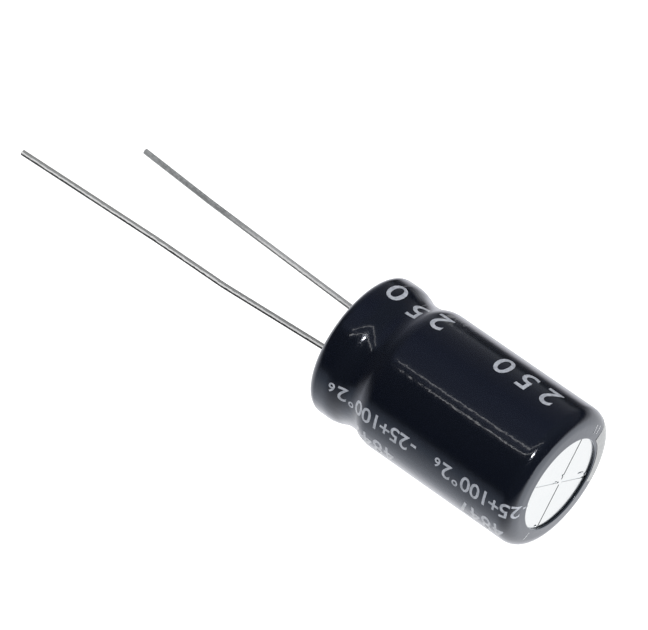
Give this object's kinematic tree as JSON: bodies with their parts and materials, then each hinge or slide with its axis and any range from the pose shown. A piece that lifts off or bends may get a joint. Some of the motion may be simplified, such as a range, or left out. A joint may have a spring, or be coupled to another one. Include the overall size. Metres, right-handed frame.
{
  "type": "electrolytic capacitor",
  "caption": "Radial aluminium electrolytic capacitor: dark sleeved can with a rolled groove and a cross-scored vent, on long tinned wire leads of unequal length.",
  "frame": {"origin": "middle of the seating ring, the sleeve's flat end round the leads, midway between the leads", "axes": "+Z along the can's axis from the board to the vent; +X from the negative lead to the positive lead; +Y completes the right-handed frame"},
  "size_m": [0.013, 0.013, 0.0554],
  "materials": {
    "sleeve": "heat-shrunk glossy sleeve",
    "case": "drawn, bright",
    "seal": "moulded, matt",
    "wire": "tinned, satin",
    "tab": "drawn and flattened",
    "anode_foil": "etched and formed, matt",
    "cathode_foil": "etched, satin",
    "separator_paper": "thin kraft paper, soaked",
    "tape": "polyester tape"
  },
  "bodies": {
    "root": {"sleeve": "sleeve", "case": "case", "seal": "seal", "positive_wire": "wire", "negative_wire": "wire", "positive_tab": "tab", "negative_tab": "tab", "anode_foil": "anode_foil", "cathode_foil": "cathode_foil", "inner_paper": "separator_paper", "outer_paper": "separator_paper", "element_tape": "tape"}
  },
  "joints": []
}
